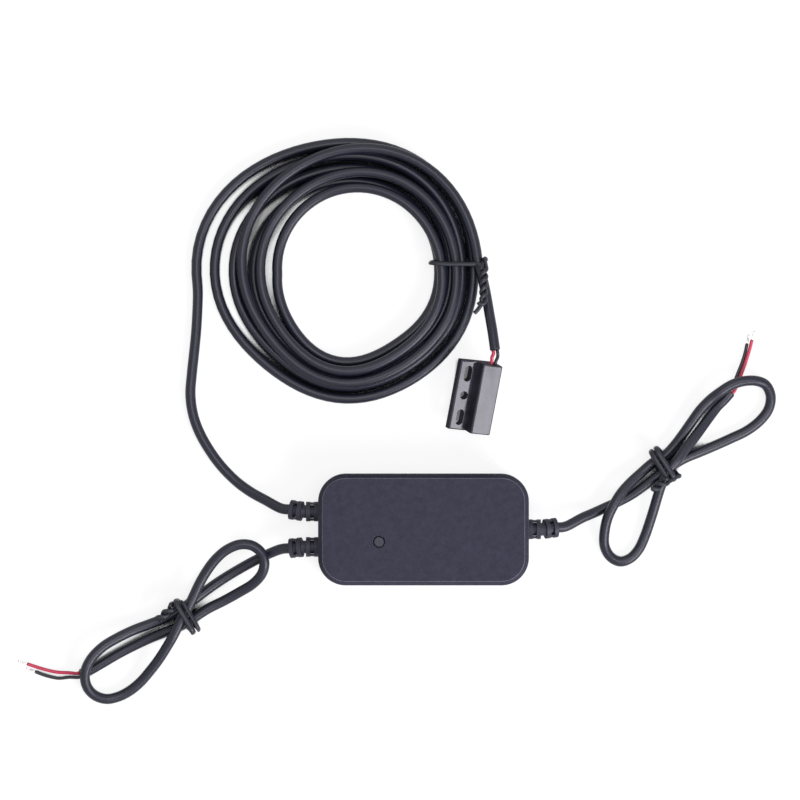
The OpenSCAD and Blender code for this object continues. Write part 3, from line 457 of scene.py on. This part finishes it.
powerTie = makeTie("powerTie", {
    "middle": Vector((91.4, 24.6, bowMiddle)), "along": Vector((0.83, 0.56, 0)).normalized(),
    "half": (tieShape["bowHalf"], bowHigh / 2), "wraps": 2,
    "course": Vector((-0.87, -0.5, -0.03)), "length": 7, "twists": 1, "shift": (0, 0, 1.7),
    "tips": plainTips})
print("cores and ties made")


# moulded pieces: welding distance, then flatness and sharpness in degrees, and rounds of the softening
moulding = {"weld": 0.002, "flat": 0.4, "sharp": 32, "segments": 3, "evenWeight": 100}
# the rim round the button and all that is low on the cover stay crisp
crispRim = {"node": "top_cover", "at": (-16.8, -4.55), "reach": 4, "under": 15, "share": 0.3}
# only outer edges and inner corners of at least these lengths are rounded
longEdges = {"sensor_case": (5, 20)}


def softening(node, edge):
    if edge.calc_face_angle(0) < math.radians(moulding["sharp"]):
        return 0
    if node in longEdges and edge.calc_length() < longEdges[node][0 if edge.is_convex else 1] * mm:
        return 0
    middle = (edge.verts[0].co + edge.verts[1].co) / 2 / mm
    crisp = middle.z < crispRim["under"] or (middle.xy - Vector(crispRim["at"])).length < crispRim["reach"]
    return crispRim["share"] if crisp and node == crispRim["node"] else 1


# a copy of the node's mesh with its flats joined up and its edges marked for softening
def joinedFlats(node, name):
    mesh = nodes[node].data.copy()
    mesh.name = name
    mesh.materials.clear()
    bm = bmesh.new()
    bm.from_mesh(mesh)
    bmesh.ops.remove_doubles(bm, verts=bm.verts, dist=moulding["weld"] * mm)
    bmesh.ops.dissolve_limit(bm, angle_limit=math.radians(moulding["flat"]), verts=bm.verts, edges=bm.edges)
    weights = bm.edges.layers.float.new("bevel_weight_edge")
    for edge in bm.edges:
        edge[weights] = softening(node, edge)
    bm.to_mesh(mesh)
    bm.free()
    mesh.shade_smooth()
    mesh.set_sharp_from_angle(angle=math.radians(moulding["sharp"]))
    return mesh


def dressSolid(node, name, edge, edgeHighlight):
    piece = addPiece(name, joinedFlats(node, name))
    soften = piece.modifiers.new("softEdges", "BEVEL")
    soften.width, soften.segments = edge * mm, moulding["segments"]
    soften.limit_method = "WEIGHT"
    soften.miter_outer = "MITER_ARC"
    soften.use_clamp_overlap = True
    # the rounded edge takes the second material, a lighter colour that is a painted highlight
    if edgeHighlight:
        soften.material = 1
    flats = piece.modifiers.new("evenFlats", "WEIGHTED_NORMAL")
    flats.mode, flats.weight, flats.keep_sharp = "FACE_AREA", moulding["evenWeight"], node in longEdges
    return piece


# node: piece, edge softening, finish, material slot
moulded = {
    "bottom_shell": ("boxBase", 0.3, "boxPlastic", "shell"),
    "top_cover": ("boxCover", 0.7, "boxPlastic", "shell"),
    "button_cap": ("pushButton", 0.25, "buttonPlastic", "button"),
    "switch_plunger": ("switchPlunger", 0.1, "innerPlastic", "plunger"),
    "tact_switch": ("pushSwitch", 0.15, "innerPlastic", "switch_body"),
    "circuit_board": ("circuitBoard", 0.05, "greenBoard", "board"),
    "radio_module": ("radioModule", 0.05, "darkBoard", "module_board"),
    "radio_shield": ("radioShield", 0.25, "tinnedSheet", "shield"),
    "relay": ("relayCase", 0.3, "relayBlue", "relay"),
    "inductor": ("inductorBlock", 0.25, "ferriteGrey", "ferrite"),
    "capacitors": ("capacitorCans", 0.15, "canAluminium", "capacitor"),
    "chips": ("controlChips", 0.12, "innerPlastic", "chip"),
    "status_led": ("statusLed", 0.08, "ledLens", "led"),
    "sensor_strain_relief": ("sensorRelief", 0.22, "reliefRubber", "relief"),
    "trigger_strain_relief": ("triggerRelief", 0.22, "reliefRubber", "relief"),
    "power_strain_relief": ("powerRelief", 0.22, "reliefRubber", "relief"),
    "sensor_inner_leads": ("sensorInnerLeads", 0.05, "leadRed", "red_insulation"),
    "trigger_inner_leads": ("triggerInnerLeads", 0.05, "leadRed", "red_insulation"),
    "power_inner_leads": ("powerInnerLeads", 0.05, "leadRed", "red_insulation"),
    "sensor_case": ("sensorCase", 0.5, "polishedBlack", "sensor"),
    "sensor_back_plate": ("sensorBack", 0.1, "polishedBlack", "sensor"),
    "reed_switch": ("reedGlass", 0.4, "reedGlass", "reed_glass"),
    "reed_leads": ("reedLeads", 0.05, "tinnedStrand", "tinned"),
}
moving = ("button_cap", "switch_plunger")


# finishes: each is worked out from noise in the piece's own millimetres
class Finish:
    def __init__(self, name, onSkin=False):
        self.material = bpy.data.materials.new(name)
        self.material.use_nodes = True
        self.tree = self.material.node_tree
        self.shader = self.tree.nodes["Principled BSDF"]
        self.spot = self.add("ShaderNodeTexCoord").outputs["UV" if onSkin else "Object"]

    def add(self, kind, **settings):
        node = self.tree.nodes.new(kind)
        for key, value in settings.items():
            setattr(node, key, value)
        return node

    def link(self, a, b):
        self.tree.links.new(a, b)
        return self

    def scaled(self, scale, turn=(0, 0, 0)):
        mapping = self.add("ShaderNodeMapping")
        mapping.inputs["Scale"].default_value = scale
        mapping.inputs["Rotation"].default_value = [math.radians(t) for t in turn]
        self.link(self.spot, mapping.inputs["Vector"])
        return mapping.outputs["Vector"]

    def noise(self, size, detail=2, rough=0.5, stretch=(1, 1, 1), turn=(0, 0, 0)):
        texture = self.add("ShaderNodeTexNoise")
        self.link(self.scaled([s / (size * mm) for s in stretch], turn), texture.inputs["Vector"])
        texture.inputs["Scale"].default_value = 1
        texture.inputs["Detail"].default_value = detail
        texture.inputs["Roughness"].default_value = rough
        return texture.outputs["Fac"]

    def spread(self, value, low, high, inLow=0.3, inHigh=0.7):
        return mapped(self.tree, value, (inLow, inHigh), (low, high))

    # each stop is a place and the colour there, times a share
    def tones(self, value, colour, *stops):
        ramp = self.add("ShaderNodeValToRGB")
        for element, (place, share) in zip(ramp.color_ramp.elements, stops):
            element.position, element.color = place, (*shade(colour, share), 1)
        self.link(value, ramp.inputs["Fac"])
        return ramp.outputs["Color"]

    def colour(self, value):
        return self.link(value, self.shader.inputs["Base Color"])

    def roughness(self, value):
        return self.link(value, self.shader.inputs["Roughness"])

    def bump(self, value, height, strength):
        bump = self.add("ShaderNodeBump")
        bump.inputs["Distance"].default_value = height * mm
        bump.inputs["Strength"].default_value = strength
        self.link(value, bump.inputs["Height"])
        normal = self.shader.inputs["Normal"]
        if normal.is_linked:
            self.link(normal.links[0].from_socket, bump.inputs["Normal"])
        return self.link(bump.outputs["Normal"], normal)

    def set(self, **numbers):
        for key, value in numbers.items():
            self.shader.inputs[key.replace("_", " ")].default_value = value
        return self


def mapped(tree, value, given, wanted):
    span = tree.nodes.new("ShaderNodeMapRange")
    for key, number in zip(("From Min", "From Max", "To Min", "To Max"), (*given, *wanted)):
        span.inputs[key].default_value = number
    tree.links.new(value, span.inputs["Value"])
    return span.outputs["Result"]


def shade(colour, times):
    return [c * times for c in colour]


# grained moulding: fine grain, mottling, a few hair scratches, and painted shade where it is closed in
def grainedPlastic(name, look):
    f = Finish(name)
    blotch = f.noise(look["blotch"], detail=8, rough=0.85)
    grain = f.noise(look["grain"], detail=2, rough=0.6)
    scratch = f.noise(look["scratch"], detail=1, rough=0.4, stretch=(1, 0.03, 1), turn=(0, 0, 37))
    # painted shade: ambient occlusion darkens the base colour in grooves, seams and gaps within its reach
    paintedShade = f.add("ShaderNodeAmbientOcclusion", samples=8)
    paintedShade.inputs["Distance"].default_value = look.get("dirtIn", 0.3) * mm
    f.link(f.tones(blotch, look["colour"], (0.38, 0.78), (0.62, 1.22)), paintedShade.inputs["Color"])
    f.colour(paintedShade.outputs["Color"])
    f.roughness(f.spread(grain, look["rough"] - 0.07, look["rough"] + 0.07))
    f.bump(grain, look["grainDepth"], strength=0.6)
    f.bump(f.spread(scratch, 0, 1, inLow=0.74, inHigh=0.78), look["grainDepth"], strength=0.3)
    return f.set(Specular_IOR_Level=look["gloss"]).material


# extruded jacket: faint draw lines along the skin and a soft bloom
def jacketSkin(name, look):
    f = Finish(name, onSkin=True)
    lines = f.noise(look["lineEvery"], detail=2, rough=0.5, stretch=(60, 0.02, 1))
    bloom = f.noise(look["bloom"], detail=3, rough=0.55, stretch=(1.5, 1, 1))
    grain = f.noise(look["grain"], detail=2, rough=0.6, stretch=(look["grain"] * 80, 1, 1))
    f.colour(f.tones(bloom, look["colour"], (0.3, 0.88), (0.7, 1.12)))
    f.roughness(f.spread(bloom, look["rough"] - 0.08, look["rough"] + 0.08))
    f.bump(lines, look["lineDepth"], strength=0.5)
    f.bump(grain, look["lineDepth"], strength=0.3)
    return f.set(Specular_IOR_Level=look["gloss"]).material


# polished case: fine rub marks and a little dust haze in the gloss, walls left dull by the mould
def polishedCase(name, look):
    f = Finish(name)
    facing = f.add("ShaderNodeSeparateXYZ")
    f.link(f.add("ShaderNodeTexCoord").outputs["Normal"], facing.inputs["Vector"])
    rub = f.noise(look["rub"], detail=3, rough=0.6, stretch=(1, 0.12, 1), turn=(0, 0, 20))
    haze = f.noise(look["haze"], detail=4, rough=0.6)
    f.colour(f.tones(haze, look["colour"], (0.35, 0.8), (0.75, 1.5)))
    duller = f.add("ShaderNodeMath", operation="MAXIMUM")
    f.link(f.spread(rub, look["rough"], look["rough"] + 0.1, inLow=0.4, inHigh=0.75), duller.inputs[0])
    f.link(f.spread(facing.outputs["Z"], look["wallRough"], 0, *look["wallTurn"]), duller.inputs[1])
    f.roughness(duller.outputs[0])
    f.link(f.spread(facing.outputs["Z"], look["wallGloss"], look["gloss"], *look["wallTurn"]),
           f.shader.inputs["Specular IOR Level"])
    return f.bump(rub, look["rubDepth"], strength=0.25).material


# bare metal: fine lines along one direction and slow tarnish
def drawnMetal(name, look):
    f = Finish(name)
    lines = f.noise(look["line"], detail=2, rough=0.6, stretch=look["stretch"])
    tarnish = f.noise(look["tarnish"], detail=3)
    f.colour(f.tones(tarnish, look["colour"], (0.3, 0.85), (0.7, 1)))
    f.roughness(f.spread(lines, look["rough"] - 0.1, look["rough"] + 0.1))
    f.bump(lines, look["depth"], strength=0.4)
    return f.set(Metallic=1).material


# board: solder mask over tracks that show as slightly raised, lighter bands
def trackedBoard(name, look):
    f = Finish(name)
    cells = f.add("ShaderNodeTexBrick", offset=0.37, squash=1.7, squash_frequency=3)
    f.link(f.scaled((1 / (look["track"] * mm),) * 3), cells.inputs["Vector"])
    for socket, share in (("Color1", 1), ("Color2", 1.25), ("Mortar", 1.7)):
        cells.inputs[socket].default_value = (*shade(look["colour"], share), 1)
    cells.inputs["Mortar Size"].default_value = 0.05
    f.colour(cells.outputs["Color"])
    f.bump(cells.outputs["Fac"], look["trackHeight"], strength=0.5)
    f.roughness(f.spread(f.noise(look["haze"]), look["rough"] - 0.05, look["rough"] + 0.08))
    return f.material


# clear pieces: faint swirls in the glass or lens
def clearBody(name, look):
    f = Finish(name)
    swirl = f.noise(look["swirl"], detail=2, rough=0.5, stretch=(1, 0.4, 1))
    f.colour(f.tones(swirl, look["colour"], (0.3, 0.9), (0.7, 1)))
    f.roughness(f.spread(swirl, 0.03, 0.1))
    return f.set(Transmission_Weight=look["clear"], IOR=1.5).material


looks = {
    # the box and the button reach further with the painted shade, so the groove round the button comes out
    # dark
    "boxPlastic": (grainedPlastic, {
        "colour": (0.034, 0.033, 0.052), "rough": 0.5, "grain": 0.3, "grainDepth": 0.012,
        "blotch": 2.6, "scratch": 1.1, "gloss": 0.12, "dirtIn": 0.8}),
    # lighter colour for the rounded edges of the box: a painted highlight along them
    "boxPlasticEdge": (grainedPlastic, {
        "colour": (0.14, 0.139, 0.17), "rough": 0.38, "grain": 0.3, "grainDepth": 0.006,
        "blotch": 9, "scratch": 1.1, "gloss": 0.4}),
    "buttonPlastic": (grainedPlastic, {
        "colour": (0.036, 0.035, 0.052), "rough": 0.5, "grain": 0.2, "grainDepth": 0.01,
        "blotch": 2, "scratch": 0.8, "gloss": 0.28, "dirtIn": 0.8}),
    "innerPlastic": (grainedPlastic, {
        "colour": (0.02, 0.02, 0.022), "rough": 0.55, "grain": 0.15, "grainDepth": 0.01,
        "blotch": 3, "scratch": 0.8, "gloss": 0.35}),
    "relayBlue": (grainedPlastic, {
        "colour": (0.02, 0.06, 0.3), "rough": 0.4, "grain": 0.2, "grainDepth": 0.008,
        "blotch": 6, "scratch": 0.8, "gloss": 0.45}),
    "ferriteGrey": (grainedPlastic, {
        "colour": (0.045, 0.045, 0.05), "rough": 0.6, "grain": 0.12, "grainDepth": 0.02,
        "blotch": 2, "scratch": 0.6, "gloss": 0.4}),
    "leadRed": (grainedPlastic, {
        "colour": (0.5, 0.03, 0.07), "rough": 0.35, "grain": 0.2, "grainDepth": 0.006,
        "blotch": 4, "scratch": 0.8, "gloss": 0.45}),
    "reliefRubber": (grainedPlastic, {
        "colour": (0.03, 0.029, 0.044), "rough": 0.52, "grain": 0.3, "grainDepth": 0.01,
        "blotch": 4, "scratch": 1, "gloss": 0.3}),
    "jacketBlack": (jacketSkin, {
        "colour": (0.0105, 0.0105, 0.022), "rough": 0.36, "lineEvery": 40, "lineDepth": 0.02,
        "bloom": 30, "grain": 0.3, "gloss": 0.37}),
    "tieCoat": (jacketSkin, {
        "colour": (0.02, 0.02, 0.03), "rough": 0.4, "lineEvery": 30, "lineDepth": 0.02,
        "bloom": 8, "grain": 0.25, "gloss": 0.36}),
    "redInsulation": (jacketSkin, {
        "colour": (0.56, 0.03, 0.08), "rough": 0.35, "lineEvery": 40, "lineDepth": 0.01,
        "bloom": 6, "grain": 0.2, "gloss": 0.45}),
    "blackInsulation": (jacketSkin, {
        "colour": (0.018, 0.018, 0.022), "rough": 0.36, "lineEvery": 40, "lineDepth": 0.01,
        "bloom": 6, "grain": 0.2, "gloss": 0.4}),
    "polishedBlack": (polishedCase, {
        "colour": (0.03, 0.029, 0.04), "rough": 0.12, "rub": 2.5, "rubDepth": 0.004, "haze": 5,
        "gloss": 0.42, "wallGloss": 0.1, "wallRough": 0.7, "wallTurn": (0.5, 0.8)}),
    "tinnedStrand": (drawnMetal, {
        "colour": (0.72, 0.71, 0.7), "rough": 0.3, "line": 0.15, "stretch": (1, 1, 1),
        "tarnish": 1.2, "depth": 0.01}),
    "tinnedSheet": (drawnMetal, {
        "colour": (0.62, 0.63, 0.65), "rough": 0.32, "line": 0.12, "stretch": (0.05, 1, 1),
        "tarnish": 5, "depth": 0.004}),
    "canAluminium": (drawnMetal, {
        "colour": (0.6, 0.61, 0.64), "rough": 0.3, "line": 0.1, "stretch": (1, 1, 0.05),
        "tarnish": 4, "depth": 0.004}),
    "greenBoard": (trackedBoard, {
        "colour": (0.018, 0.12, 0.045), "rough": 0.35, "track": 5, "trackHeight": 0.03, "haze": 2}),
    "darkBoard": (trackedBoard, {
        "colour": (0.01, 0.03, 0.02), "rough": 0.35, "track": 2, "trackHeight": 0.03, "haze": 2}),
    "ledLens": (clearBody, {"colour": (0.85, 0.82, 0.68), "clear": 0.4, "swirl": 0.6}),
    "reedGlass": (clearBody, {"colour": (0.6, 0.8, 0.72), "clear": 0.9, "swirl": 3}),
}
finishes = {name: make(name, look) for name, (make, look) in looks.items()}
print("finishes:", len(finishes))


def finishPiece(piece, finish, slot, body, *replaced):
    piece.data.materials.clear()
    piece.data.materials.append(finishes[finish])
    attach(piece, body)
    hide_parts(*replaced)


shown = {}
for node, (name, edge, finish, slot) in moulded.items():
    # a finish with a lighter edge material gets a painted highlight on the piece's rounded edges
    highlightedEdges = finish + "Edge" in finishes
    shown[name] = dressSolid(node, name, edge, highlightedEdges)
    finishPiece(shown[name], finish, slot, "button" if node in moving else "controller", node)
    if highlightedEdges:
        shown[name].data.materials.append(finishes[finish + "Edge"])
print("moulded pieces:", len(shown))

finishPiece(sensorCable, "jacketBlack", "jacket", "controller", "sensor_lead", "sensor_coil", "sensor_tail")
finishPiece(triggerCable, "jacketBlack", "jacket", "controller", "trigger_cable")
finishPiece(powerCable, "jacketBlack", "jacket", "controller", "power_cable")
finishPiece(coilTie, "tieCoat", "tie", "controller", "coil_tie")
finishPiece(triggerTie, "tieCoat", "tie", "controller", "trigger_tie")
finishPiece(powerTie, "tieCoat", "tie", "controller", "power_tie")
finishPiece(triggerTips, "tinnedStrand", "tinned", "controller", "trigger_wire_tips")
finishPiece(powerTips, "tinnedStrand", "tinned", "controller", "power_wire_tips")
for end in ("sensor", "trigger", "power"):
    finishPiece(cores[end + "RedCore"], "redInsulation", "red_insulation", "controller", end + "_red_wire")
    finishPiece(cores[end + "BlackCore"], "blackInsulation", "black_insulation", "controller",
                end + "_black_wire")



# pale floor that stays white to the eye, keeps a faint shadow and has painted shade where it is closed in,
# where ambient occlusion dims its glow and darkens its tone
floorLook = {"half": 30000, "below": 0.2, "albedo": 0.55, "glow": 0.8, "shadowed": 0.28,
             "gap": 9, "samples": 32, "shutAt": 0.3, "shutTone": 0.01, "openAt": 0.38}
# half size, depth and softness of the painted shadow under the sensor, and the share of glow left in it
sensorShade = {"half": (6.6, 13), "deep": 1000, "soft": 0.2, "left": 0.14}


def worked(tree, operation, *values):
    node = tree.nodes.new("ShaderNodeMath")
    node.operation = operation
    for value, socket in zip(values, node.inputs):
        tree.links.new(value, socket)
    return node.outputs[0]


def seenDirectly(tree):
    path = tree.nodes.new("ShaderNodeLightPath")
    total = path.outputs["Is Camera Ray"]
    for ray in ("Is Glossy Ray", "Is Transmission Ray"):
        total = worked(tree, "MAXIMUM", total, path.outputs[ray])
    return total


# painted shadow: a box mask dims the floor's glow under the leaning sensor, where only its slots let light in
def underSensor(tree, dim):
    spot, toSensor = tree.nodes.new("ShaderNodeTexCoord"), tree.nodes.new("ShaderNodeMapping")
    toSensor.vector_type = "TEXTURE"
    toSensor.inputs["Location"].default_value = Vector((*sensor["xy"], 0)) * mm
    toSensor.inputs["Rotation"].default_value = (0, 0, math.radians(sensor["turn"][2]))
    toSensor.inputs["Scale"].default_value = Vector((*dim["half"], dim["deep"])) * mm
    away, sides = tree.nodes.new("ShaderNodeVectorMath"), tree.nodes.new("ShaderNodeSeparateXYZ")
    away.operation = "ABSOLUTE"
    tree.links.new(spot.outputs["Object"], toSensor.inputs["Vector"])
    tree.links.new(toSensor.outputs["Vector"], away.inputs[0])
    tree.links.new(away.outputs["Vector"], sides.inputs["Vector"])
    edge = worked(tree, "MAXIMUM", sides.outputs["X"], sides.outputs["Y"])
    return mapped(tree, edge, (1 - dim["soft"], 1), (dim["left"], 1))


def floorMaterial(look):
    material = bpy.data.materials.new("paleFloor")
    material.use_nodes = True
    tree = material.node_tree
    tree.nodes.remove(tree.nodes["Principled BSDF"])
    bounce, shadow = tree.nodes.new("ShaderNodeBsdfDiffuse"), tree.nodes.new("ShaderNodeBsdfDiffuse")
    bounce.inputs["Color"].default_value = (look["albedo"],) * 3 + (1,)
    glow, openness = tree.nodes.new("ShaderNodeEmission"), tree.nodes.new("ShaderNodeAmbientOcclusion")
    openness.inputs["Distance"].default_value = look["gap"] * mm
    openness.samples = look["samples"]
    # painted shade: ambient occlusion dims the glow and darkens the shadowed tone in narrow gaps
    span = (look["shutAt"], look["openAt"])
    tone = mapped(tree, openness.outputs["AO"], span, (look["shutTone"], look["shadowed"]))
    fade = mapped(tree, openness.outputs["AO"], span, (0, look["glow"]))
    tree.links.new(tone, shadow.inputs["Color"])
    tree.links.new(worked(tree, "MULTIPLY", fade, underSensor(tree, sensorShade)), glow.inputs["Strength"])
    both, choose = tree.nodes.new("ShaderNodeAddShader"), tree.nodes.new("ShaderNodeMixShader")
    tree.links.new(shadow.outputs[0], both.inputs[0])
    tree.links.new(glow.outputs[0], both.inputs[1])
    tree.links.new(seenDirectly(tree), choose.inputs["Fac"])
    tree.links.new(bounce.outputs[0], choose.inputs[1])
    tree.links.new(both.outputs[0], choose.inputs[2])
    tree.links.new(choose.outputs[0], tree.nodes["Material Output"].inputs["Surface"])
    return material


def layFloor(look):
    h, z = look["half"] * mm, -look["below"] * mm
    mesh = bpy.data.meshes.new("paleFloor")
    mesh.from_pydata([(-h, -h, z), (h, -h, z), (h, h, z), (-h, h, z)], [], [(0, 1, 2, 3)])
    mesh.materials.append(floorMaterial(look))
    addPiece("paleFloor", mesh)


# softboxes: place, what they point at, width and brightness of their face
softboxes = {
    "keyBox": {"at": (770, -764, 750), "aim": (-140, -205, 8), "width": 760, "face": 9.5,
               "tint": (0.94, 0.93, 1)},
    "skyBox": {"at": (300, 150, 2900), "aim": (0, 40, 0), "width": 1400, "face": 5, "tint": (0.92, 0.91, 1)},
    "rimBox": {"at": (-200, 1200, 1100), "aim": (0, 40, 0), "width": 420, "face": 3, "tint": (0.94, 0.93, 1)},
}
roomLight = 0.24


def hangSoftbox(name, look):
    data = bpy.data.lights.new(name, "AREA")
    data.shape, data.size = "SQUARE", look["width"] * mm
    data.energy = look["face"] * math.pi * data.size ** 2
    data.color = look["tint"]
    lamp = bpy.data.objects.new(name, data)
    place, aim = Vector(look["at"]) * mm, Vector(look["aim"]) * mm
    lamp.location = place
    lamp.rotation_euler = (aim - place).to_track_quat("-Z", "Y").to_euler()
    scene.collection.objects.link(lamp)


# even room light, white where it is looked at
def lightRoom(strength):
    world = bpy.data.worlds.new("studio")
    scene.world = world
    world.use_nodes = True
    tree = world.node_tree
    room, white = tree.nodes["Background"], tree.nodes.new("ShaderNodeBackground")
    room.inputs["Color"].default_value = white.inputs["Color"].default_value = (1, 1, 1, 1)
    room.inputs["Strength"].default_value = strength
    white.inputs["Strength"].default_value = 1
    choose = tree.nodes.new("ShaderNodeMixShader")
    tree.links.new(seenDirectly(tree), choose.inputs["Fac"])
    tree.links.new(room.outputs[0], choose.inputs[1])
    tree.links.new(white.outputs[0], choose.inputs[2])
    tree.links.new(choose.outputs[0], tree.nodes["World Output"].inputs["Surface"])


layFloor(floorLook)
for name, look in softboxes.items():
    hangSoftbox(name, look)
lightRoom(roomLight)
scene.view_settings.view_transform = "Standard"
print("floor and light set")
